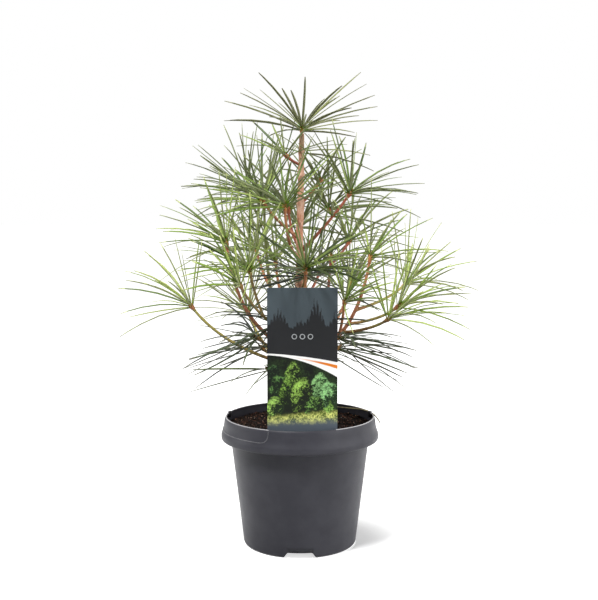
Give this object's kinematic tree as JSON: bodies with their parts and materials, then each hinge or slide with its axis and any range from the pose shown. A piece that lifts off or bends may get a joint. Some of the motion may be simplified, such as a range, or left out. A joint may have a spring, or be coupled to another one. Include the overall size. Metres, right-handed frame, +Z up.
{
  "type": "potted japanese umbrella pine",
  "caption": "Young umbrella pine: a red-brown trunk with whorled boughs and umbrella-like whorls of long flat needles, in a round plastic nursery pot with a plant card",
  "frame": {"origin": "centre of the pot's underside, in the plane that it stands on", "axes": "+Z up along the trunk, +X to the viewer's right when the printed face of the card is seen, +Y to the back"},
  "size_m": [0.4247, 0.3686, 0.5506],
  "materials": {
    "pot_plastic": "moulded plastic, charcoal, satin",
    "potting_soil": "loose dark peat with bark and light specks",
    "card_print": "printed plastic card, satin",
    "trunk_bark": "thin flaky red-brown bark",
    "bough_bark": "smooth orange-brown young bark",
    "green_needles": "waxy, flat, furrowed needles",
    "old_needles": "waxy, dark, drooping needles"
  },
  "bodies": {
    "root": {"bough_back": "bough_bark", "bough_back_left": "bough_bark", "bough_back_right": "bough_bark", "bough_far_left": "bough_bark", "bough_far_right": "bough_bark", "bough_front": "bough_bark", "bough_low_back": "bough_bark", "bough_low_back_left": "bough_bark", "bough_low_front_right": "bough_bark", "bough_low_left": "bough_bark", "bough_low_right": "bough_bark", "bough_mid_back_left": "bough_bark", "bough_mid_back_right": "bough_bark", "bough_mid_front_left": "bough_bark", "bough_mid_left": "bough_bark", "bough_mid_right": "bough_bark", "bough_tall_left": "bough_bark", "bough_upper_back": "bough_bark", "bough_upper_front": "bough_bark", "bough_upper_left": "bough_bark", "bough_upper_right": "bough_bark", "needles_back": "green_needles", "needles_back_left": "green_needles", "needles_back_right": "green_needles", "needles_collar": "old_needles", "needles_far_left": "green_needles", "needles_far_right": "green_needles", "needles_front": "green_needles", "needles_front_right": "green_needles", "needles_leader": "green_needles", "needles_low_back": "green_needles", "needles_low_back_left": "green_needles", "needles_low_front_right": "green_needles", "needles_low_left": "green_needles", "needles_low_right": "green_needles", "needles_mid_back_left": "green_needles", "needles_mid_back_right": "green_needles", "needles_mid_front_left": "green_needles", "needles_mid_left": "green_needles", "needles_mid_right": "green_needles", "needles_old_centre": "old_needles", "needles_old_front": "old_needles", "needles_old_front_left": "old_needles", "needles_old_front_right": "old_needles", "needles_old_left": "old_needles", "needles_old_low_right": "old_needles", "needles_old_right": "old_needles", "needles_tall_left": "green_needles", "needles_top_left": "green_needles", "needles_top_right": "green_needles", "needles_upper_back": "green_needles", "needles_upper_back_left": "green_needles", "needles_upper_front": "green_needles", "needles_upper_left": "green_needles", "needles_upper_right": "green_needles", "plant_card": "card_print", "pot": "pot_plastic", "soil": "potting_soil", "trunk": "trunk_bark"}
  },
  "joints": []
}
